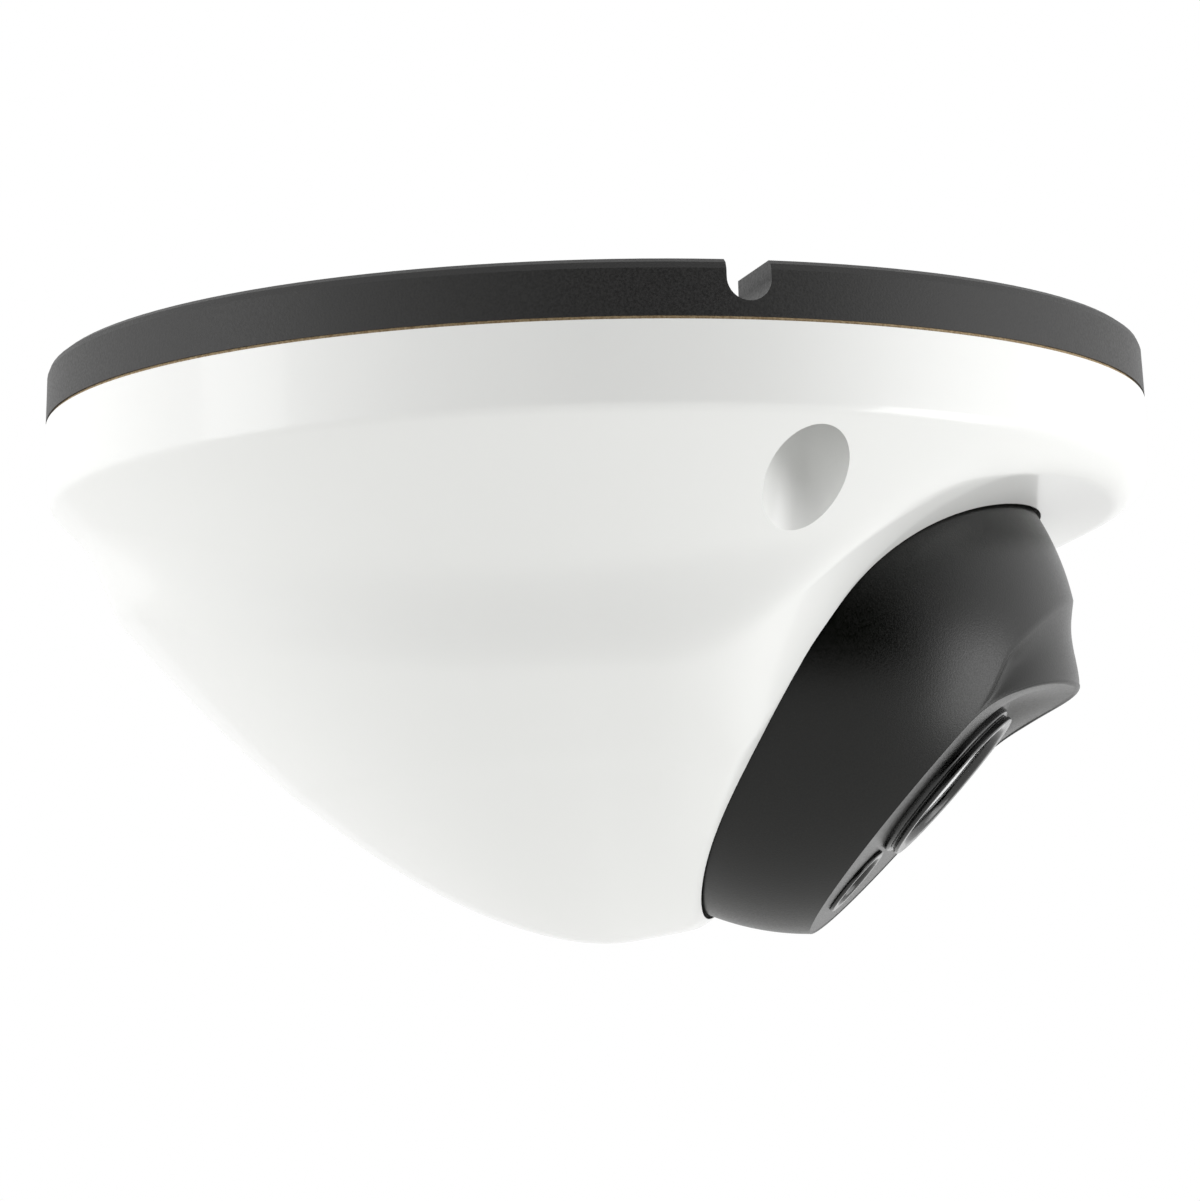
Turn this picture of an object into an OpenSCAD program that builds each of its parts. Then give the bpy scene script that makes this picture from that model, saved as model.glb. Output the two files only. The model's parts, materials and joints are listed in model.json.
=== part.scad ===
// Ceiling mini dome camera with an aimable eye, hanging from its mounting face at z = 0.
// The eye looks toward -Y and downward.

/* [Base and band] */
// Outside radius of the housing at the joint between base and cover
body_r = 55; // [52:0.5:60]
// Height of the base ring
base_h = 5.5; // [5.5:0.1:6.5]
// Height of the straight band of the cover
band_h = 8.4; // [7.4:0.1:10.4]
// Thickness of the tan gasket between base and cover
gasket_t = 0.3; // [0.3:0.1:0.8]
// Wall thickness of the cover
wall = 2.4; // [2:0.1:2.8]
// Width of the cable notch in the base rim
notch_w = 4.3; // [4:0.1:5]
// Depth of the cable notch in the base rim
notch_d = 4; // [3:0.1:4.4]
// Diameter of the ceiling mounting holes
mount_d = 4.5; // [4:0.1:5]
// Distance between the two ceiling mounting holes
mount_span = 82; // [81:0.5:84]

/* [Dome] */
// Depth of the dome below the straight band
dome_h = 44.4; // [42:0.2:48]
// Half width of the dome body at its sides
hull_half = 39.5; // [38:0.5:42]
// Diameter of the cover screw recesses
recess_d = 8.2; // [7:0.2:8.6]
// Diameter of the cover screw threads
cover_screw_d = 3; // [2.5:0.5:3]

/* [Eye] */
// Outside radius of the eye ball
ball_r = 27; // [26.5:0.1:27.4]
// Distance of the eye centre forward of the housing axis
eye_fwd = 20.7; // [20:0.1:21.5]
// Depth of the eye centre below the mounting face
eye_drop = 31; // [30.8:0.1:31.8]
// Angle of the lens axis below horizontal as modelled
aim = 42.5; // [38:0.5:47]
// How far the eye is turned aside as modelled
rest_pan = 3.5; // [-10:0.5:10]
// Gap between the eye and the edge of the cover opening
ball_gap = 0.4; // [0.3:0.05:0.6]
// Distance of the eye's flat face from the ball centre
face_a = 17.7; // [17:0.1:18.2]
// Height of the hood above the flat face
hood_h = 4.4; // [3:0.1:4.8]
// Outside radius of the ring round the lens window
ring_r = 9; // [8.5:0.1:9.4]
// Radius of the lens window
window_r = 7.2; // [6.5:0.1:7.4]
// Radius of the small infrared window
ir_r = 3.4; // [3:0.1:3.8]
// Distance of the infrared window from the lens axis
ir_off = 13.4; // [13:0.1:14]
// Radius of the lens barrel
barrel_r = 6; // [5.5:0.1:6.2]

/* [Mechanism] */
// Radius of the tilt pivot pins
pin_r = 1.5; // [1.2:0.1:1.8]
// Distance of the tilt arms from the centre plane
arm_x = 17; // [16.6:0.1:17.2]
// Running clearance on the radius of turning pins
run_gap = 0.05; // [0.03:0.01:0.08]
// Working gap beside sliding faces
slide_gap = 0.2; // [0.15:0.05:0.3]

/* [Hidden] */
$fn = 96;
joint_z = -base_h;
cover_z = -base_h - gasket_t;
band_z = -base_h - band_h;
tip_z = band_z - dome_h;
floor_top = -1;
floor_z = -3.4;
rim_in = 46.5;
back_in = body_r - 11;
notch_a = 67.7;
recess_a = 60;
screw_pr = body_r - 5.4;
seat_z = -9.2;
gland_a = notch_a;
gland_r = 40.5;
board_z = -9;
board_t = 1.6;
bore_r = ball_r - 2.1;
cav_r = ball_r - 7.8;
lift_r = 48.3 / 55 * body_r;
lift_h = 34.1 / 44.4 * dome_h;
cone_k = 1.06;
edge_r = 30.3;

// Places children at an angle from the front, toward -X when positive, at radius r.
module at(a, r) {
  rotate([0, 0, -a]) translate([0, -r, 0]) children();
}

// Eye coordinates: local Z is the lens axis, local Y is up across it.
module eye() {
  translate([0, -eye_fwd, -eye_drop]) rotate([0, 0, rest_pan]) rotate([90 + aim, 0, 0]) children();
}

module tube(r1, r2, z0, z1) {
  translate([0, 0, z0]) difference() {
    cylinder(r = r2, h = z1 - z0);
    translate([0, 0, -1]) cylinder(r = r1, h = z1 - z0 + 2);
  }
}

module rod(r, z0, z1) {
  translate([0, 0, z0]) cylinder(r = r, h = z1 - z0);
}

module slab(x0, x1, y0, y1, z0, z1) {
  translate([x0, y0, z0]) cube([x1 - x0, y1 - y0, z1 - z0]);
}

// Room for the turning ring in the fixed parts in front.
module pan_room() {
  translate([0, -eye_fwd, 0]) rod(31.2, -8, floor_z);
}

// ---- Base, gasket and gland ----
module base_plate() {
  color([0.17, 0.17, 0.18]) difference() {
    union() {
      difference() {
        rotate_extrude($fn = 180) polygon([[0, -base_h], [body_r, -base_h], [body_r - 0.2, -1],
          [body_r - 0.45, -0.4], [body_r - 1, 0], [back_in, 0], [back_in, floor_top], [0, floor_top]]);
        rod(rim_in, -base_h - 1, floor_z);
        pan_room();
      }
      at(gland_a, gland_r) slab(-4.8, 4.8, -7, 4.7, -6.4, floor_top);
      at(180, 46) slab(-4, 4, -2, 2, -base_h, floor_z);
      for (s = [-1, 1]) translate([s * mount_span / 2, 0, 0]) rod(5, floor_z - 1.2, 0);
    }
    at(notch_a, 50) union() {
      slab(-notch_w / 2, notch_w / 2, -8, 12, -notch_d + notch_w / 2, 1);
      translate([0, 12, -notch_d + notch_w / 2]) rotate([90, 0, 0]) cylinder(r = notch_w / 2, h = 20);
    }
    at(gland_a, gland_r) slab(-3.5, 3.5, -3.5, 3.5, -4.8, 1);
    at(gland_a, gland_r) rod(3, -8, 0);
    for (a = [-recess_a, recess_a]) at(a, screw_pr) rod(2.2, -base_h - 1, -2);
    at(180, 46.6) slab(-3, 3, -1.5, 3, -base_h - 1, -4.4);
    for (s = [-1, 1]) translate([s * mount_span / 2, 0, 0]) rod(mount_d / 2, -8, 1);
    for (a = [0, 120, 240]) translate([0, -eye_fwd, 0]) rotate([0, 0, a]) translate([0, 20.6, 0])
      rod(0.9, -8, -2);
    for (x = [-21, 21], y = [15, 33]) translate([x, y, 0]) rod(1.9, -8, -2.2);
  }
}

module joint_gasket() {
  color([0.72, 0.55, 0.32]) difference() {
    tube(body_r - 5, body_r - 0.25, cover_z, joint_z);
    for (a = [-recess_a, recess_a]) at(a, screw_pr) rod(2.2, -8, -5);
    pan_room();
  }
}

module cable_gland() {
  color([0.08, 0.08, 0.08]) at(gland_a, gland_r) union() {
    tube(2.2, 3, -6.8, -4.4);
    tube(2.2, 4.2, -7.4, -6.4);
    tube(2.2, 3.4, -4.8, -4);
  }
}

module cover_inserts() {
  color([0.8, 0.62, 0.3]) for (a = [-recess_a, recess_a])
    at(a, screw_pr) tube(cover_screw_d / 2, 2.2, -base_h, -2);
}

module hook_clip() {
  color([0.6, 0.6, 0.62]) at(180, 46.6) union() {
    slab(-2.6, 2.6, -1.5, -0.6, -9.6, -4.4);
    slab(-2.6, 2.6, -1.5, 2.6, -5.3, -4.4);
    slab(-2.6, 2.6, -4.4, -1.4, -9.6, -8.8);
  }
}

// ---- Electronics on the base ----
module main_board() {
  color([0.05, 0.3, 0.16]) difference() {
    slab(-25, 25, 12, 37, board_z - board_t, board_z);
    for (x = [-21, 21], y = [15, 33]) translate([x, y, 0]) rod(1.2, -12, -8);
  }
}

module board_posts() {
  color([0.8, 0.62, 0.3]) for (x = [-21, 21], y = [15, 33])
    translate([x, y, 0]) tube(1, 1.9, board_z, -2.2);
}

module board_screws() {
  color([0.62, 0.62, 0.64]) for (x = [-21, 21], y = [15, 33]) translate([x, y, 0]) difference() {
    union() {
      rod(1, board_z - board_t - 0.1, -4.5);
      rod(2, board_z - board_t - 1.3, board_z - board_t);
    }
    slab(-1.2, 1.2, -0.2, 0.2, -13, board_z - board_t - 0.8);
    slab(-0.2, 0.2, -1.2, 1.2, -13, board_z - board_t - 0.8);
  }
}

module network_jack() {
  color([0.72, 0.72, 0.74]) difference() {
    slab(-5.4, 10.6, 14, 35, -24, board_z - board_t);
    slab(-3.3, 8.5, 19, 36, -19.6, -12.2);
    slab(-0.4, 5.6, 19, 36, -21.6, -19);
  }
}

module video_chip() {
  color([0.06, 0.06, 0.07]) slab(11.6, 23, 18, 29.4, -11.9, board_z - board_t);
}

module heat_pad() {
  color([0.75, 0.75, 0.78]) slab(12.6, 22, 19, 28.4, -12.9, -11.9);
}

module card_socket() {
  color([0.66, 0.66, 0.68]) difference() {
    slab(-18.9, -6, 17.5, 30.5, -12.6, board_z - board_t);
    slab(-18.2, -6.8, 18, 40, -12.1, -11.1);
    slab(-15, -10, 26, 31, -13, -11.5);
  }
}

module memory_card() {
  color([0.1, 0.1, 0.12]) slab(-18, -7, 18.4, 33.4, -12, -11.3);
}

module reset_switch() {
  color([0.85, 0.85, 0.82]) difference() {
    slab(12, 17, 12.2, 17, -12.8, board_z - board_t);
    translate([14.5, 14.6, 0]) rod(1.4, -14, -11.2);
  }
}

module reset_button() {
  color([0.1, 0.1, 0.1]) translate([14.5, 14.6, 0]) rod(1.35, -13.9, -11.7);
}

module status_led() {
  color([0.9, 0.95, 0.8]) translate([-12, 14.6, 0]) union() {
    slab(-1, 1, -0.6, 0.6, -11.3, board_z - board_t);
    rod(0.5, -11.8, -11.2);
  }
}

// ---- Pan bearing ----
module pan_retainer() {
  color([0.25, 0.25, 0.27]) translate([0, -eye_fwd, 0]) difference() {
    union() {
      tube(18.4, 22.4, -7.8, floor_z);
      tube(18.4, 25, -7.8, -6 - slide_gap);
    }
    for (a = [0, 120, 240]) rotate([0, 0, a]) translate([0, 20.6, 0]) rod(1.15, -9, -2);
  }
}

module retainer_screws() {
  color([0.62, 0.62, 0.64]) translate([0, -eye_fwd, 0]) for (a = [0, 120, 240])
    rotate([0, 0, a]) translate([0, 20.6, 0]) difference() {
      union() {
        rod(0.9, -8, -2.2);
        rod(1.8, -8.8, -7.8);
      }
      slab(-1.1, 1.1, -0.2, 0.2, -9, -8.3);
    }
}

module pan_yoke() {
  color([0.55, 0.55, 0.58]) translate([0, -eye_fwd, 0]) rotate([0, 0, rest_pan]) union() {
    tube(22.7, 30.5, -6, -4);
    difference() {
      translate([0, 0, -eye_drop]) for (s = [-1, 1]) arm_side(s * arm_x);
      rod(60, -4.2, 30);
      tube(30.5, 60, -40, 10);
    }
    for (s = [-1, 1]) slab(s * arm_x - 0.8, s * arm_x + 0.8, 20, 24.6, -8, -5.6);
  }
}

// Arm direction is opposite to the lens axis.
module arm_side(x) {
  translate([x - 0.8, 0, 0]) difference() {
    union() {
      rotate([0, 90, 0]) cylinder(r = 3.4, h = 1.6);
      rotate([aim - 90, 0, 0]) translate([0, -3, 0]) cube([1.6, 6, 36]);
    }
    translate([-1, 0, 0]) rotate([0, 90, 0]) cylinder(r = pin_r + run_gap, h = 4);
  }
}

// ---- Tilting frame and eye ----
module tilt_frame() {
  color([0.3, 0.3, 0.32]) eye() difference() {
    union() {
      tube(19.2, bore_r - 0.4, 3, 5);
      for (s = [-1, 1]) intersection() {
        slab(s * 19.3 - 1.1, s * 19.3 + 1.1, -3.2, 3.2, -3.2, 4);
        rod(20.9, -4, 5);
      }
    }
    rotate([0, 90, 0]) translate([0, 0, -30]) cylinder(r = pin_r, h = 60);
  }
}

module tilt_pins() {
  color([0.78, 0.78, 0.8]) eye() for (s = [-1, 1]) rotate([0, s * 90, 0]) rod(pin_r, 15.9, 20.2);
}

module hood_cut() {
  // Face height follows a parabola above the flat: points by rule.
  n = 12;
  rotate([0, -90, 0]) translate([0, 0, -40]) linear_extrude(80)
    polygon(concat([[60, -60], [face_a, -60], [face_a, 3.6]],
      [for (i = [1 : n]) let (y = 3.6 + 14 * i / n) [face_a + hood_h * pow((y - 3.6) / 12.4, 2), y]],
      [[60, 18]]));
}

module eye_shell() {
  top_a = face_a + hood_h;
  rim_r = sqrt(ball_r * ball_r - face_a * face_a);
  lip_r = sqrt(ball_r * ball_r - (top_a - 0.3) * (top_a - 0.3));
  color([0.12, 0.12, 0.125]) eye() difference() {
    union() {
      intersection() {
        sphere(r = ball_r, $fn = 160);
        rod(40, -7, face_a);
      }
      rotate_extrude($fn = 160) polygon([[0, face_a - 1], [rim_r, face_a - 1], [rim_r, face_a],
        [rim_r - 1.5, face_a + 1.2], [rim_r - 2.8, face_a + 2.5], [lip_r + 0.2, top_a - 0.9],
        [lip_r, top_a - 0.3], [lip_r - 0.6, top_a], [0, top_a]]);
    }
    rotate_extrude() polygon([[0, face_a], [ring_r + 0.8, face_a], [lip_r - 0.7, top_a + 0.01],
      [lip_r - 0.7, 40], [0, 40]]);
    hood_cut();
    rod(bore_r, -8, 5.2);
    rod(cav_r, 5, face_a - 2.3);
    rod(window_r + 1, 10, 30);
    translate([0, -ir_off, 0]) rod(ir_r, 10, 30);
    for (a = [0, 120, 240]) rotate([0, 0, a]) translate([0, 15, 0]) rod(0.8, 8, 14);
  }
  color([0.12, 0.12, 0.125]) eye() for (a = [0, 120, 240]) rotate([0, 0, a])
    translate([0, 15, 0]) tube(0.8, 2, 9.4, face_a - 1.6);
}

module eye_retainer() {
  color([0.25, 0.25, 0.27]) eye() difference() {
    tube(21.6, bore_r, 0.8, 2.8);
    for (a = [45 : 90 : 315]) rotate([0, 0, a]) slab(20, 22.8, -1.2, 1.2, -1, 1.8);
  }
}

module window_ring() {
  color([0.1, 0.1, 0.1]) eye() difference() {
    rotate_extrude() polygon([[window_r - 0.7, face_a - 2.3], [window_r + 1, face_a - 2.3],
      [window_r + 1, face_a], [ring_r + 0.1, face_a], [ring_r + 0.1, face_a + 0.6],
      [ring_r - 0.2, face_a + 0.7], [ring_r - 0.2, face_a + 1.2], [ring_r - 0.4, face_a + 1.4],
      [window_r + 0.5, face_a + 1.4], [window_r, face_a + 1], [window_r - 0.7, face_a + 1]]);
    rod(window_r, face_a - 0.2, face_a + 2);
  }
}

module lens_window() {
  color([0.75, 0.8, 0.85]) eye() rod(window_r, face_a - 0.2, face_a + 0.8);
}

module window_seal() {
  color([0.05, 0.05, 0.05]) eye() tube(window_r - 1.6, window_r - 0.7, face_a - 1.2, face_a - 0.2);
}

module ir_window() {
  color([0.2, 0.05, 0.08]) eye() translate([0, -ir_off, 0]) rod(ir_r, face_a - 1.6, face_a - 0.6);
}

module ir_lamp() {
  color([0.85, 0.85, 0.88]) eye() translate([0, -ir_off, 0]) union() {
    rod(1.7, face_a - 2.6, face_a - 2.1);
    intersection() {
      translate([0, 0, face_a - 3]) sphere(r = 1.35, $fn = 48);
      rod(3, face_a - 2.3, face_a);
    }
  }
}

module lamp_board() {
  color([0.05, 0.3, 0.16]) eye() difference() {
    translate([0, -ir_off, 0]) slab(-4.4, 4.4, -4.2, 4.4, face_a - 3.8, face_a - 2.6);
    rod(barrel_r + 2.6, 0, 30);
  }
}

module lens_barrel() {
  color([0.07, 0.07, 0.08]) eye() difference() {
    union() {
      rod(barrel_r - 0.6, 9.5, 14);
      rod(barrel_r, 14, face_a - 1.9);
    }
    rod(3, 9, 12);
    rod(3.6, 11.9, 20);
    rotate_extrude() polygon([[0, 13.6], [3.6, 13.6], [barrel_r - 0.9, face_a - 1.8], [0, face_a]]);
  }
}

module front_lens() {
  color([0.5, 0.55, 0.7]) eye() intersection() {
    rod(3.6, 12, 14.5);
    translate([0, 0, 4.4]) sphere(r = 9.6);
  }
}

module rear_lens() {
  color([0.5, 0.55, 0.7]) eye() rod(3, 9.8, 11.2);
}

module lens_holder() {
  color([0.09, 0.09, 0.1]) eye() difference() {
    union() {
      rod(18.6, 7.2, 9.4);
      rod(8.4, 9.4, 13.4);
    }
    rod(barrel_r - 0.6, 9.4, 14);
    slab(-4.6, 4.6, -4.6, 4.6, 6, 9.5);
    for (a = [0, 120, 240]) rotate([0, 0, a]) translate([0, 15, 0]) rod(1.1, 6, 14);
  }
}

module sensor_board() {
  color([0.05, 0.3, 0.16]) eye() difference() {
    rod(12.6, 5.6, 7.2);
    slab(-3, 3, 9.5, 14, 5, 8);
  }
}

module image_sensor() {
  color([0.2, 0.22, 0.28]) eye() slab(-4, 4, -3.6, 3.6, 7.2, 8.3);
}

module module_screws() {
  color([0.62, 0.62, 0.64]) eye() for (a = [0, 120, 240]) rotate([0, 0, a])
    translate([0, 15, 0]) difference() {
      union() {
        rod(0.8, 6.8, 13.6);
        rod(1.7, 6.1, 7.2);
      }
      slab(-1, 1, -0.2, 0.2, 6, 6.6);
    }
}

// ---- Cover ----
// Depth of the dome surface at radius r, for a body made smaller by w all round.
function dome_z(r, w) = tip_z + w + lift_h * pow(r / (lift_r - w), 1.73);

module dome_body(w) {
  n = 14;
  intersection() {
    rotate_extrude($fn = 144) polygon(concat(
      [for (i = [0 : n]) let (r = (lift_r - w) * i / n) [r, dome_z(r, w)]],
      [[body_r * 0.92 - w, band_z - 4.5], [0, band_z - 4.5]]));
    for (s = [-1]) translate([s * (60 - hull_half), 0, 0])
      rotate_extrude($fn = 180) polygon([[0, tip_z - 1], [60 - w, tip_z - 1], [60 - w, -30],
        [60.6 - w, -10], [0, -10]]);
    translate([60 - hull_half, 0, 0])
      rotate_extrude($fn = 180) polygon([[0, tip_z - 1], [60 - w, tip_z - 1], [60 - w, -30],
        [60.6 - w, -10], [0, -10]]);
  }
}

module cone_body(w) {
  r0 = body_r - 0.5 - w;
  rotate_extrude($fn = 180) polygon([[0, cover_z + (w > 0 ? 1 : 0)], [body_r - w, cover_z + (w > 0 ? 1 : 0)],
    [body_r - 0.2 - w, band_z + 1.2 + w * 0.4], [r0, band_z - 0.2 + w * 0.4],
    [r0 - 24, band_z - 0.2 - 24 * cone_k + w * 0.4], [0, band_z - 0.2 - 24 * cone_k + w * 0.4]]);
}

// Space in front of the cover's face, grown into the body by d: side view by rule.
module front_cut(d) {
  cy = -(eye_fwd + 30.3);
  cz = -(eye_drop + 15.2);
  r = edge_r + d;
  n = 9;
  module side_view(len) {
    translate([len / 2, 0, 0]) rotate([0, -90, 0]) linear_extrude(len) polygon(concat(
      [for (i = [0 : n]) let (t = -20 + 79 * i / n) [cz + r * cos(t), cy + r * sin(t)]],
      [[cz + r * cos(59) - 60 * sin(59), cy + r * sin(59) + 60 * cos(59)],
        [cz - 80, cy - 40], [cz, cy - 40]]));
  }
  side_view(50 - 2 * d);
  for (s = [-1, 1]) translate([s * (25 - d), -28, 0]) rotate([0, 0, s * 28]) translate([0, 28, 0])
    side_view(70);
}

module cover_outer() {
  difference() {
    union() {
      cone_body(0);
      dome_body(0);
    }
    front_cut(0);
  }
}

module cover() {
  color([0.93, 0.93, 0.92]) difference() {
    union() {
      difference() {
        cover_outer();
        difference() {
          union() {
            cone_body(wall);
            dome_body(wall);
            rod(body_r - wall, -base_h - 3, 0);
          }
          front_cut(wall + 0.2);
        }
      }
      intersection() {
        for (a = [-recess_a, recess_a]) at(a, screw_pr) rod(recess_d / 2 + 1.2, -40, cover_z);
        cone_body(0);
      }
      at(180, 46.6) slab(-4, 4, -6.6, -1.9, -8.6, cover_z - 1);
    }
    translate([0, -eye_fwd, -eye_drop]) sphere(r = ball_r + ball_gap, $fn = 160);
    for (a = [-recess_a, recess_a]) at(a, screw_pr) union() {
      rod(recess_d / 2, -60, seat_z);
      rod(cover_screw_d / 2 + 0.3, -20, 0);
    }
    pan_room();
  }
}

module cover_screws() {
  color([0.7, 0.7, 0.72]) for (a = [-recess_a, recess_a]) at(a, screw_pr) difference() {
    union() {
      rod(cover_screw_d / 2, seat_z, -2.6);
      rod(3, seat_z - 2.2, seat_z);
    }
    translate([0, 0, seat_z - 2.3]) cylinder(r = 1.2, h = 1.5, $fn = 6);
  }
}

base_plate();
joint_gasket();
cable_gland();
cover_inserts();
main_board();
board_posts();
board_screws();
network_jack();
video_chip();
heat_pad();
card_socket();
memory_card();
reset_switch();
reset_button();
status_led();
pan_retainer();
retainer_screws();
pan_yoke();
tilt_frame();
tilt_pins();
eye_shell();
eye_retainer();
window_ring();
lens_window();
window_seal();
ir_window();
ir_lamp();
lamp_board();
lens_barrel();
front_lens();
rear_lens();
lens_holder();
sensor_board();
image_sensor();
module_screws();
cover();
cover_screws();
hook_clip();
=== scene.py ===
import bpy
import json
import math
from mathutils import Matrix, Vector


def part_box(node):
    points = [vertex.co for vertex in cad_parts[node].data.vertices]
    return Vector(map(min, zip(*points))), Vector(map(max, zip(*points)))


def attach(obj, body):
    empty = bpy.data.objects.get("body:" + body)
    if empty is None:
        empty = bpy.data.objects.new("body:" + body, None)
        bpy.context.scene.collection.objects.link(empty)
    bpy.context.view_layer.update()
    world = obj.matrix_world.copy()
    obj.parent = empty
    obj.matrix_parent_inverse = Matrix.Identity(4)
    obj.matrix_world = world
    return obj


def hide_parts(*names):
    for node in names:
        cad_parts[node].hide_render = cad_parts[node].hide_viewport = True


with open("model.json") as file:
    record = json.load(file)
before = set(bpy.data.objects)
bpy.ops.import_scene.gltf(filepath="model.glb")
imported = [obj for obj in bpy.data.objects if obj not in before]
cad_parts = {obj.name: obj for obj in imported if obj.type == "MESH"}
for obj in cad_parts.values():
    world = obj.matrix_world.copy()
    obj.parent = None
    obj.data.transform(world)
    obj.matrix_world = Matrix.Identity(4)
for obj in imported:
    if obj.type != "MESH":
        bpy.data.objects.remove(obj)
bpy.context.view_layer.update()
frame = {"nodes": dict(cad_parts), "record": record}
mm = 0.001

# depths and radii in millimetres: rim, joint (the cover's top edge) and tip come from the frame
body = {"rim": (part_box("base_plate")[1].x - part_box("base_plate")[0].x) / 2 / mm,
        "joint": -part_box("joint_gasket")[0].z / mm,
        "tip": -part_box("cover")[0].z / mm,
        "ball": 27.0}
jointByName = {j["name"]: j for j in frame["record"]["behaviour"]["joints"]}
ballCentre = Vector(jointByName["pan"]["pos_m"])
lensAxis = Vector(jointByName["turn"]["axis"]).normalized()
tiltAxis = Vector(jointByName["tilt"]["axis"]).normalized()
upAcross = lensAxis.cross(tiltAxis)
eyeMatrix = Matrix.Translation(ballCentre) @ Matrix((
    (tiltAxis.x, upAcross.x, lensAxis.x), (tiltAxis.y, upAcross.y, lensAxis.y),
    (tiltAxis.z, upAcross.z, lensAxis.z))).to_4x4()


def smoothMax(a, b, k):
    h = max(k - abs(a - b), 0) / k
    return max(a, b) + h * h * k / 4


def smoothMin(a, b, k):
    return -smoothMax(-a, -b, k)


def ease(t):
    t = min(max(t, 0), 1)
    return t * t * (3 - 2 * t)


def nothingSelected():
    if bpy.context.mode != "OBJECT":
        bpy.ops.object.mode_set(mode="OBJECT")
    bpy.ops.object.select_all(action="DESELECT")


def pick(obj):
    nothingSelected()
    obj.select_set(True)
    bpy.context.view_layer.objects.active = obj


def applyModifiers(obj):
    pick(obj)
    for m in list(obj.modifiers):
        bpy.ops.object.modifier_apply(modifier=m.name)


def smoothFaces(obj, angle=35):
    pick(obj)
    bpy.ops.object.shade_smooth_by_angle(angle=math.radians(angle))


def rolledSheet(name, columns, rows, place):
    # a grid rolled round an axis: place(turn, along) gives each point in millimetres
    nothingSelected()
    bpy.ops.mesh.primitive_grid_add(x_subdivisions=columns, y_subdivisions=rows, size=1)
    obj = bpy.context.active_object
    obj.name = name
    for v in obj.data.vertices:
        turn = round((v.co.x + 0.5) * columns) / columns
        along = round((v.co.y + 0.5) * rows) / rows
        v.co = Vector(place(turn * 2 * math.pi, along)) * mm
    bpy.ops.object.mode_set(mode="EDIT")
    bpy.ops.mesh.select_all(action="SELECT")
    bpy.ops.mesh.remove_doubles(threshold=2e-6)
    bpy.ops.mesh.normals_make_consistent(inside=False)
    bpy.ops.object.mode_set(mode="OBJECT")
    return obj


def flipFaces(obj):
    pick(obj)
    bpy.ops.object.mode_set(mode="EDIT")
    bpy.ops.mesh.select_all(action="SELECT")
    bpy.ops.mesh.flip_normals()
    bpy.ops.object.mode_set(mode="OBJECT")


def copyOf(obj):
    twin = obj.copy()
    twin.data = obj.data.copy()
    bpy.context.collection.objects.link(twin)
    return twin


def closeOpenEdge(obj):
    pick(obj)
    bpy.ops.object.mode_set(mode="EDIT")
    bpy.ops.mesh.select_all(action="DESELECT")
    bpy.ops.mesh.select_non_manifold()
    bpy.ops.mesh.edge_face_add()
    bpy.ops.object.mode_set(mode="OBJECT")


def rounded(outline, radius, steps=4, closed=True):
    # outline of (r, z) corners with each corner rounded off
    points = []
    n = len(outline)
    for i, corner in enumerate(outline):
        if not closed and i in (0, n - 1):
            points.append(corner)
            continue
        p = Vector(corner[:2])
        before = Vector(outline[i - 1][:2]) - p
        after = Vector(outline[(i + 1) % n][:2]) - p
        size = corner[2] if len(corner) > 2 else radius
        reach = min(size, before.length * 0.49, after.length * 0.49)
        start, end = p + before.normalized() * reach, p + after.normalized() * reach
        for s in range(steps + 1):
            t = s / steps
            points.append(tuple(start * (1 - t) ** 2 + p * 2 * t * (1 - t) + end * t * t))
    return points


def latheRing(name, outline, steps, radius, matrix, closed=True):
    # turns a rounded outline of (r, z) about Z
    points = rounded(outline, radius, closed=closed)
    count = len(points) if closed else len(points) - 1

    def place(turn, along):
        r, z = points[round(along * count) % len(points)]
        return (r * math.cos(turn), r * math.sin(turn), z)

    obj = rolledSheet(name, steps, count, place)
    obj.data.transform(matrix)
    smoothFaces(obj)
    return obj


def cutWith(obj, cutter, how="DIFFERENCE"):
    m = obj.modifiers.new("cut", "BOOLEAN")
    m.operation, m.object, m.solver = how, cutter, "MANIFOLD"
    applyModifiers(obj)
    bpy.data.objects.remove(cutter)


def cylinderAt(place, radius, depth, vertices=96):
    nothingSelected()
    bpy.ops.mesh.primitive_cylinder_add(vertices=vertices, radius=radius * mm, depth=depth * mm)
    obj = bpy.context.active_object
    obj.data.transform(Matrix.Translation(Vector(place) * mm))
    return obj


def setMaterial(obj, material):
    obj.data.materials.clear()
    obj.data.materials.append(material)


def principled(name, colour, roughness, metallic=0.0, coat=0.0, coatRoughness=0.05, ior=1.47):
    material = bpy.data.materials.new(name)
    material.use_nodes = True
    shader = material.node_tree.nodes["Principled BSDF"]
    shader.inputs["Base Color"].default_value = (*colour, 1)
    shader.inputs["Roughness"].default_value = roughness
    shader.inputs["Metallic"].default_value = metallic
    shader.inputs["Coat Weight"].default_value = coat
    shader.inputs["Coat Roughness"].default_value = coatRoughness
    shader.inputs["IOR"].default_value = ior
    return material, shader


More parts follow.
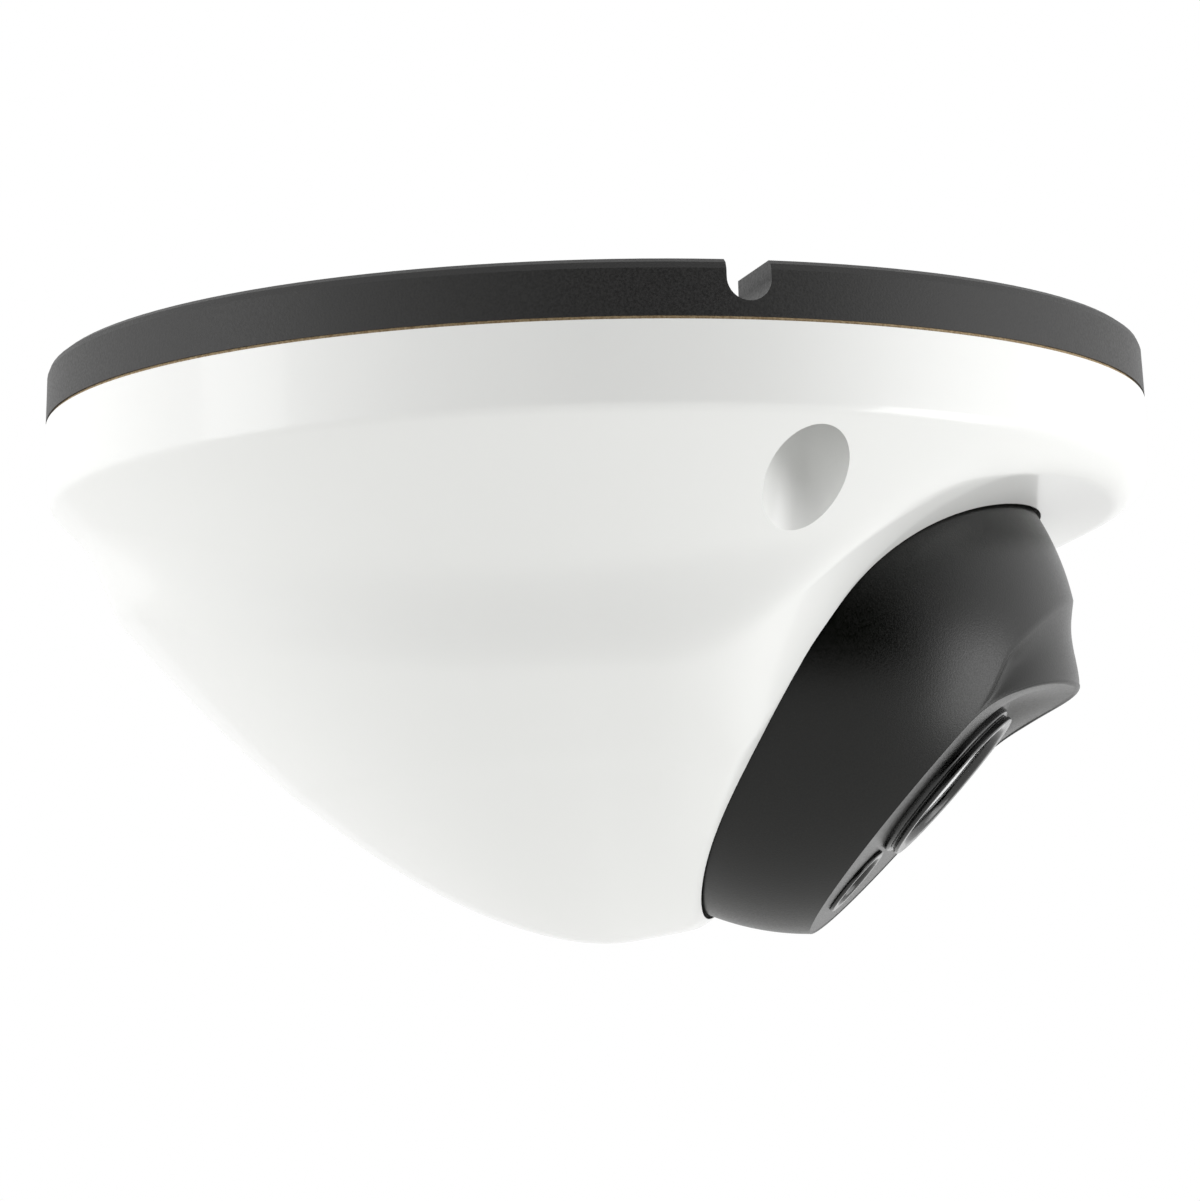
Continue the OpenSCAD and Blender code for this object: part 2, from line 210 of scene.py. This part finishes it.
def grain(material, shader, scale, depth, detail=2.0, colour=None, spread=0.0, roughness=None):
    # fine moulded texture: bump, and if asked a slight change of colour and roughness with it
    nodes, links = material.node_tree.nodes, material.node_tree.links
    where = nodes.new("ShaderNodeTexCoord")
    noise = nodes.new("ShaderNodeTexNoise")
    noise.inputs["Scale"].default_value = scale
    noise.inputs["Detail"].default_value = detail
    links.new(where.outputs["Object"], noise.inputs["Vector"])
    bump = nodes.new("ShaderNodeBump")
    bump.inputs["Strength"].default_value = 1.0
    bump.inputs["Distance"].default_value = depth * mm
    links.new(noise.outputs["Fac"], bump.inputs["Height"])
    links.new(bump.outputs["Normal"], shader.inputs["Normal"])
    if colour:
        ramp = nodes.new("ShaderNodeValToRGB")
        ramp.color_ramp.elements[0].position = 0.5 - spread
        ramp.color_ramp.elements[1].position = 0.5 + spread
        ramp.color_ramp.elements[0].color = (*colour[0], 1)
        ramp.color_ramp.elements[1].color = (*colour[1], 1)
        links.new(noise.outputs["Fac"], ramp.inputs["Fac"])
        links.new(ramp.outputs["Color"], shader.inputs["Base Color"])
    if roughness:
        span = nodes.new("ShaderNodeMapRange")
        span.inputs["From Min"].default_value = 0.35
        span.inputs["From Max"].default_value = 0.65
        span.inputs["To Min"].default_value = roughness[0]
        span.inputs["To Max"].default_value = roughness[1]
        links.new(noise.outputs["Fac"], span.inputs["Value"])
        links.new(span.outputs["Result"], shader.inputs["Roughness"])


def whitePaint():
    material, shader = principled("whitePaint", (0.86, 0.865, 0.85), 0.3, coat=0.45, coatRoughness=0.06)
    grain(material, shader, 2500, 0.0004, roughness=(0.28, 0.33))
    return material


def graphitePaint():
    material, shader = principled("graphitePaint", (0.013, 0.0128, 0.0124), 0.5)
    shades = ((0.0095, 0.0093, 0.009), (0.017, 0.0167, 0.0162))
    grain(material, shader, 4200, 0.02, 3, shades, 0.16, (0.44, 0.56))
    return material


def eyeBlack():
    material, shader = principled("eyeBlack", (0.0042, 0.0045, 0.0038), 0.33, ior=1.4)
    shades = ((0.003, 0.0032, 0.0027), (0.0055, 0.0058, 0.0051))
    grain(material, shader, 5500, 0.012, 2, shades, 0.18, (0.29, 0.37))
    return material


def ringBlack():
    material, shader = principled("ringBlack", (0.012, 0.012, 0.012), 0.25, coat=0.3, coatRoughness=0.15)
    grain(material, shader, 1500, 0.004, roughness=(0.2, 0.32))
    return material


def gasketFoam():
    material, shader = principled("gasketFoam", (0.42, 0.3, 0.16), 0.8)
    grain(material, shader, 3500, 0.03, 2, ((0.3, 0.2, 0.1), (0.55, 0.42, 0.25)), 0.2)
    return material


def simple(name, colour, roughness, metallic=0.0, scale=1200, depth=0.01, coat=0.0, spreadTo=1.35):
    material, shader = principled(name, colour, roughness, metallic, coat)
    dark = tuple(c / spreadTo for c in colour)
    light = tuple(min(c * spreadTo, 1) for c in colour)
    finish = (roughness * 0.85, min(roughness * 1.2, 1))
    grain(material, shader, scale, depth, 3, (dark, light), 0.2, finish)
    return material


def clearGlass(name, colour, transmission=1.0, roughness=0.0):
    material, shader = principled(name, colour, roughness, ior=1.5, coat=0.3, coatRoughness=0.02)
    shader.inputs["Transmission Weight"].default_value = transmission
    return material


materials = {
    "graphite": graphitePaint(), "gasket": gasketFoam(), "white_paint": whitePaint(),
    "eye_black": eyeBlack(), "ring_black": ringBlack(),
    "black_rubber": simple("blackRubber", (0.02, 0.02, 0.02), 0.7, depth=0.02),
    "brass": simple("brass", (0.62, 0.43, 0.16), 0.32, 1.0),
    "circuit": simple("circuitGreen", (0.02, 0.14, 0.06), 0.38, coat=0.3),
    "steel": simple("zincSteel", (0.52, 0.52, 0.54), 0.3, 1.0),
    "bright_metal": simple("tinnedSheet", (0.6, 0.6, 0.61), 0.25, 1.0),
    "black_plastic": simple("blackPlastic", (0.025, 0.025, 0.027), 0.45),
    "pad": simple("thermalPad", (0.42, 0.42, 0.47), 0.75),
    "pale_plastic": simple("palePlastic", (0.72, 0.72, 0.67), 0.4),
    "grey_plastic": simple("greyPlastic", (0.07, 0.07, 0.075), 0.5),
    "alloy": simple("castAlloy", (0.45, 0.45, 0.47), 0.42, 0.9, depth=0.02),
    "lens_black": simple("lensBlack", (0.01, 0.01, 0.01), 0.5),
    "window_glass": clearGlass("windowGlass", (0.96, 0.98, 1.0)),
    "dark_glass": clearGlass("darkGlass", (0.05, 0.012, 0.016), 0.0, 0.05),
    "lens_glass": clearGlass("lensGlass", (0.75, 0.8, 1.0))}
for part in frame["record"]["subparts"]:
    setMaterial(frame["nodes"][part["node"]], materials[part["material_slot"]])
print("materials done")


cover = {
    "coneSlope": 1.06, "coneEnd": 39.5, "bandFoot": 13.9, "bandFootR": 54.8, "cornerR": 1.8,
    "domeR": 48.8, "domeRise": 34.1, "domePower": 1.73, "chin": 0.7, "chinFrom": 3.0, "chinSpan": 9.0,
    "hullHalf": 39.5, "hullR": 60.0, "hullSoft": 3.0, "wallSlope": 2.9, "ridgeSoft": 2.6, "valleySoft": 5.5,
    "archForward": 51.0, "archDepth": 46.6, "archR": 30.3, "archEnd": 26.5, "archFall": 1.38,
    "archBend": 0.018, "cheekIn": 27.0, "cheekOut": 40.0, "cheekDepth": 40.07, "cheekFall": 0.5757,
    "edgeSoft": 1.6, "edgeSofter": 1.2, "softerFrom": 30.0, "softerSpan": 12.0,
    "gap": 0.4, "thick": 2.2, "screwR": 49.6, "screwTurn": 60.0, "screwHole": 1.7, "holeDeep": 10.0,
    "recessR": 4.1, "recessSeat": 9.2, "recessLong": 80.0,
    "bossWall": 0.6, "bossBack": 1.6, "bossLong": 40.0, "bossSink": 0.3,
    "columns": 320, "bandRows": 6, "cornerRows": 6, "domeRows": 118, "keptCornerRows": 3}


def coneDepth(r):
    return min(cover["bandFoot"] + (cover["bandFootR"] - r) * cover["coneSlope"], cover["coneEnd"])


def domeDepth(r):
    return body["tip"] - cover["domeRise"] * (r / cover["domeR"]) ** cover["domePower"]


def archDepthAt(forward):
    # the arch over the ball: flat in front, then round, then falling back along the sides
    c = cover
    if forward >= c["archForward"]:
        return c["archDepth"] - c["archR"]
    if forward >= c["archEnd"]:
        return c["archDepth"] - math.sqrt(c["archR"] ** 2 - (c["archForward"] - forward) ** 2)
    past = c["archEnd"] - forward
    roundEnd = c["archDepth"] - math.sqrt(c["archR"] ** 2 - (c["archForward"] - c["archEnd"]) ** 2)
    return roundEnd + (c["archFall"] * past + c["archBend"] * past ** 2)


def coverDepth(x, forward):
    # depth of the outer surface below the mounting face at a point across, forward
    c = cover
    r = math.hypot(x, forward)
    fromSide = c["hullR"] - math.hypot(abs(x) + c["hullR"] - c["hullHalf"], forward)
    inward = smoothMin(fromSide, c["domeR"] - r, c["hullSoft"])
    dome = domeDepth(r) + c["chin"] * ease((forward - c["chinFrom"]) / c["chinSpan"])
    hull = smoothMin(dome, dome + c["wallSlope"] * inward, c["ridgeSoft"])
    outside = smoothMax(coneDepth(r), hull, c["valleySoft"])
    cheek = max(c["cheekDepth"] - c["cheekFall"] * forward, c["archDepth"] - c["archR"])
    t = min(max((abs(x) - c["cheekIn"]) / (c["cheekOut"] - c["cheekIn"]), 0), 1)
    front = archDepthAt(forward) * (1 - t) + cheek * t
    soft = c["edgeSoft"] + c["edgeSofter"] * ease((outside - c["softerFrom"]) / c["softerSpan"])
    return smoothMin(outside, front, soft)


def coverSheet():
    # the open outer skin: upright band, rounded foot, then the shaped underside in to the middle
    c = cover
    slope = math.atan(c["coneSlope"])
    turnAngle = math.radians(90) - slope
    reach = c["cornerR"] * math.tan(turnAngle / 2)
    cornerStart = c["bandFoot"] - reach
    domeStart = c["bandFootR"] - reach * math.cos(slope)
    rows = c["bandRows"] + c["cornerRows"] + c["domeRows"]

    def place(turn, along):
        row = round(along * rows)
        inCorner = row - c["bandRows"]
        inDome = inCorner - c["cornerRows"]
        if inCorner <= 0:
            t = row / c["bandRows"]
            z = body["joint"] + (cornerStart - body["joint"]) * t
            r = body["rim"] + (c["bandFootR"] - body["rim"]) * t
        elif inDome <= 0:
            a = turnAngle * inCorner / c["cornerRows"]
            z = cornerStart + c["cornerR"] * math.sin(a)
            r = c["bandFootR"] - c["cornerR"] * (1 - math.cos(a))
        else:
            r = domeStart * (1 - inDome / c["domeRows"])
        x, forward = r * math.sin(turn), r * math.cos(turn)
        if inDome > 0:
            z = coverDepth(x, forward)
        elif inCorner > c["keptCornerRows"]:
            z = min(z, coverDepth(x, forward))
        return (-x, -forward, -z)

    sheet = rolledSheet("coverShell", c["columns"], rows, place)
    lowest = min(sheet.data.polygons, key=lambda p: p.center.z)
    if lowest.normal.z > 0:
        flipFaces(sheet)
    return sheet


def cutScrew(shell, outerBody, side):
    # a deep recess with a walled seat inside and the screw's hole through it
    c = cover
    turn = math.radians(c["screwTurn"] * side)
    centre = (-c["screwR"] * math.sin(turn), -c["screwR"] * math.cos(turn))
    seat = -c["recessSeat"]
    bossMiddle = seat + c["bossBack"] - c["bossLong"] / 2
    boss = cylinderAt((*centre, bossMiddle), c["recessR"] + c["bossWall"], c["bossLong"])
    inside = copyOf(outerBody)
    inside.data.transform(Matrix.Translation((0, 0, c["bossSink"] * mm)))
    cutWith(boss, inside, "INTERSECT")
    cutWith(shell, boss, "UNION")
    cutWith(shell, cylinderAt((*centre, seat - c["recessLong"] / 2), c["recessR"], c["recessLong"]))
    cutWith(shell, cylinderAt((*centre, seat), c["screwHole"], c["holeDeep"], vertices=48))


def buildCover():
    shell = coverSheet()
    outerBody = copyOf(shell)
    closeOpenEdge(outerBody)
    wall = shell.modifiers.new("wall", "SOLIDIFY")
    wall.thickness, wall.offset = cover["thick"] * mm, -1
    applyModifiers(shell)
    nothingSelected()
    bpy.ops.mesh.primitive_uv_sphere_add(
        segments=256, ring_count=128, radius=(body["ball"] + cover["gap"]) * mm, location=ballCentre)
    cutWith(shell, bpy.context.active_object)
    for side in (-1, 1):
        cutScrew(shell, outerBody, side)
    bpy.data.objects.remove(outerBody)
    smoothFaces(shell, 40)
    setMaterial(shell, materials["white_paint"])
    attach(shell, "base")
    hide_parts("cover")


buildCover()
print("cover done")


eye = {
    "ballR": body["ball"], "faceA": 17.7, "backA": -7.0, "backBore": 24.9, "stepA": 5.2,
    "cavityR": 19.2, "cavityDown": 2.4, "holeR": 8.2, "holeDeep": 2.2, "ringSeat": 9.9,
    "hoodH": 4.35, "hoodOver": 0.1, "hoodFrom": 3.6, "hoodSpan": 12.3, "hoodRise": 1.6,
    "neckGap": 0.004, "neckWide": 0.075, "neckDip": 0.75, "neckLean": 0.8, "neckPower": 1.3,
    "edgeWide": 0.25, "lipWide": 0.75, "lipRound": 0.3, "scoopPower": 1.25, "irR": 3.4, "irOff": 13.4,
    "columns": 288, "ballSteps": 60, "neckSteps": 16, "lipSteps": 8, "scoopSteps": 16}


def hoodAt(turn):
    # height of the hood over the flat face at this turn round the lens axis
    e = eye
    h = 0.0
    for _ in range(12):
        across = math.sqrt(e["ballR"] ** 2 - (e["faceA"] + h) ** 2) * math.sin(turn)
        h = (h + e["hoodH"] * max((across - e["hoodFrom"]) / e["hoodSpan"], 0) ** 2) / 2
    return min(h, e["hoodH"] + e["hoodOver"])


def eyeSection(turn):
    # closed outline (r, a) of the eye's wall at this turn
    e = eye
    h = hoodAt(turn)
    up = ease(h / e["hoodRise"])
    lipTurn = math.acos((e["faceA"] + h) / e["ballR"])
    neckTurn = math.acos(e["faceA"] / e["ballR"]) + e["neckGap"] + e["neckWide"] * up
    backTurn = math.acos(e["backA"] / e["ballR"])
    points = []
    for i in range(e["ballSteps"]):
        a = backTurn + (neckTurn - backTurn) * i / e["ballSteps"]
        points.append((e["ballR"] * math.sin(a), e["ballR"] * math.cos(a)))
    for i in range(e["neckSteps"]):
        t = i / e["neckSteps"]
        a = neckTurn + (lipTurn - neckTurn) * t
        r = e["ballR"] - e["neckDip"] * up * math.sin(math.pi * t ** e["neckLean"]) ** e["neckPower"]
        points.append((r * math.sin(a), r * math.cos(a)))
    tip = Vector((e["ballR"] * math.sin(lipTurn), e["ballR"] * math.cos(lipTurn)))
    wide = e["edgeWide"] + (e["lipWide"] - e["edgeWide"]) * up
    for i in range(e["lipSteps"] + 1):
        a = math.pi * i / e["lipSteps"]
        points.append((tip.x - wide * (1 - math.cos(a)) / 2, tip.y + wide * e["lipRound"] * math.sin(a)))
    top = tip.x - wide
    for i in range(1, e["scoopSteps"] + 1):
        t = i / e["scoopSteps"]
        fall = (tip.y - e["faceA"]) * (1 - t) ** e["scoopPower"]
        points.append((top + (e["ringSeat"] - top) * t, e["faceA"] + fall))
    points += [(e["holeR"], e["faceA"]), (e["holeR"], e["faceA"] - e["holeDeep"]),
               (e["cavityR"], e["faceA"] - e["cavityDown"]), (e["cavityR"], e["stepA"]),
               (e["backBore"], e["stepA"]), (e["backBore"], e["backA"])]
    return points


def buildEye():
    e = eye
    count = len(eyeSection(0))
    sections = {}

    def place(turn, along):
        if turn not in sections:
            sections[turn] = eyeSection(turn)
        r, z = sections[turn][round(along * count) % count]
        return (r * math.cos(turn), r * math.sin(turn), z)

    shell = rolledSheet("eyeShell", e["columns"], count, place)
    outermost = max(shell.data.polygons, key=lambda p: p.center.x)
    if outermost.normal.x < 0:
        flipFaces(shell)
    cutWith(shell, cylinderAt((0, -e["irOff"], e["faceA"]), e["irR"], 12, vertices=64))
    shell.data.transform(eyeMatrix)
    smoothFaces(shell, 38)
    setMaterial(shell, materials["eye_black"])
    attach(shell, "eye")
    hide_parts("eye_shell")


# outlines of (radius, height over the flat face, own corner radius)
window = {
    "bead": [(6.5, -2.2), (8.2, -2.2), (8.2, -0.05), (9.15, -0.05), (9.15, 0.62, 0.5), (8.62, 0.72, 0.15),
             (8.62, 0.9, 0.1), (8.8, 1.0, 0.15), (8.8, 1.45, 0.5), (7.5, 1.4, 0.6), (7.2, 0.8, 0.1),
             (7.2, -0.2), (6.5, -0.2)],
    "glass": [(0, 0.95), (4, 0.88), (7.15, 0.62, 0.2), (7.15, -0.18), (0, -0.18)],
    "lamp": [(2.7, -0.6), (3.38, -0.6), (3.38, 0.02), (3.9, 0.02), (3.85, 0.4, 0.3), (3.0, 0.4, 0.4),
             (2.7, -0.1, 0.1)]}


def buildWindowRings():
    def onFace(name):
        return [(r, eye["faceA"] + up, *own) for r, up, *own in window[name]]

    lampMatrix = eyeMatrix @ Matrix.Translation((0, -eye["irOff"] * mm, 0))
    ring = latheRing("windowBead", onFace("bead"), 160, 0.12, eyeMatrix)
    setMaterial(ring, materials["ring_black"])
    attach(ring, "eye")
    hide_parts("window_ring")
    glass = latheRing("windowGlass", onFace("glass"), 128, 0.4, eyeMatrix, closed=False)
    setMaterial(glass, materials["window_glass"])
    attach(glass, "eye")
    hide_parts("lens_window")
    small = latheRing("lampBead", onFace("lamp"), 96, 0.1, lampMatrix)
    setMaterial(small, materials["ring_black"])
    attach(small, "eye")


buildEye()
buildWindowRings()
print("eye done")

view = {
    "turn": -83.0, "distance": 0.600, "below": 0.1097, "up": 0.142, "roll": -0.025, "lens": 181.77,
    "sensor": 36.0, "near": 0.01, "floor": -1.3, "floorSize": 12.0}
room = {
    "white": 1.05, "shade": 0.3, "shadeFrom": 0.3, "shadeTo": 0.95, "shadeLift": -0.05,
    "shadeSide": 0.3, "flag": -0.5, "flagFrom": 0.84, "flagTo": 0.94,
    "sideFrom": 0.55, "sideTo": 0.95, "rightGlow": 0.5, "leftGlow": 0.45}
# each light: how far right, towards the viewer and up, its width and height, its power
lights = {"keyBox": (0.85, 0.25, -0.2, (0.5, 0.5), 3.0),
          "leftBox": (-0.9, 0.25, 0.05, (0.35, 0.7), 1.0)}
bpy.context.scene.view_settings.view_transform = "Standard"

bpy.ops.mesh.primitive_plane_add(size=view["floorSize"], location=(0, 0, view["floor"]))
floor = bpy.context.active_object
floor.name = "floor"
paleFloor, floorShader = principled("paleFloor", (0.85, 0.85, 0.84), 0.8)
setMaterial(floor, paleFloor)

azimuth = math.radians(view["turn"])
toCamera = Vector((math.sin(azimuth), -math.cos(azimuth), 0))
look = -toCamera
right = look.cross(Vector((0, 0, 1)))
aim = look * math.cos(view["up"]) + Vector((0, 0, math.sin(view["up"])))
up = right.cross(aim)
rightRolled = right * math.cos(view["roll"]) + up * math.sin(view["roll"])
upRolled = up * math.cos(view["roll"]) - right * math.sin(view["roll"])
camera = bpy.data.objects.new("camera", bpy.data.cameras.new("camera"))
bpy.context.collection.objects.link(camera)
camera.data.sensor_width = view["sensor"]
camera.data.sensor_fit = "HORIZONTAL"
camera.data.lens = view["lens"]
camera.data.clip_start = view["near"]
cameraPlace = toCamera * view["distance"] + Vector((0, 0, -view["below"]))
camera.matrix_world = Matrix.Translation(cameraPlace) @ Matrix((
    (rightRolled.x, upRolled.x, -aim.x), (rightRolled.y, upRolled.y, -aim.y),
    (rightRolled.z, upRolled.z, -aim.z))).to_4x4()
bpy.context.scene.camera = camera


def softRoom():
    # white all round, darker towards the viewer, brighter at both sides, plain white behind the object
    world = bpy.data.worlds.new("softRoom")
    bpy.context.scene.world = world
    world.use_nodes = True
    nodes, links = world.node_tree.nodes, world.node_tree.links
    background = nodes["Background"]
    where = nodes.new("ShaderNodeTexCoord")

    def glow(direction, start, end, low, high):
        dot = nodes.new("ShaderNodeVectorMath")
        dot.operation = "DOT_PRODUCT"
        dot.inputs[1].default_value = direction.normalized()
        links.new(where.outputs["Generated"], dot.inputs[0])
        span = nodes.new("ShaderNodeMapRange")
        span.interpolation_type = "SMOOTHSTEP"
        for name, value in (("From Min", start), ("From Max", end), ("To Min", low), ("To Max", high)):
            span.inputs[name].default_value = value
        links.new(dot.outputs["Value"], span.inputs["Value"])
        return span.outputs["Result"]

    def both(a, b):
        node = nodes.new("ShaderNodeMath")
        links.new(a, node.inputs[0])
        links.new(b, node.inputs[1])
        return node.outputs["Value"]

    shadeWay = toCamera + right * room["shadeSide"] + Vector((0, 0, room["shadeLift"]))
    dim = both(glow(shadeWay, room["shadeFrom"], room["shadeTo"], room["white"], room["shade"]),
               glow(shadeWay, room["flagFrom"], room["flagTo"], 0, room["flag"]))
    sides = both(glow(right, room["sideFrom"], room["sideTo"], 0, room["rightGlow"]),
                 glow(-right, room["sideFrom"], room["sideTo"], 0, room["leftGlow"]))
    path = nodes.new("ShaderNodeLightPath")
    mix = nodes.new("ShaderNodeMix")
    mix.inputs["B"].default_value = 1.0
    links.new(path.outputs["Is Camera Ray"], mix.inputs["Factor"])
    links.new(both(dim, sides), mix.inputs["A"])
    links.new(mix.outputs["Result"], background.inputs["Strength"])
    background.inputs["Color"].default_value = (1, 1, 1, 1)


softRoom()


def softBox(name, place, size, power):
    light = bpy.data.objects.new(name, bpy.data.lights.new(name, "AREA"))
    bpy.context.collection.objects.link(light)
    light.data.shape, light.data.size, light.data.size_y = "RECTANGLE", *size
    light.data.energy = power
    aimed = (-Vector(place)).to_track_quat("-Z", "Y").to_matrix().to_4x4()
    light.matrix_world = Matrix.Translation(place) @ aimed


for name, (across, towards, lift, size, power) in lights.items():
    softBox(name, right * across + toCamera * towards + Vector((0, 0, lift)), size, power)
print("light and camera done")
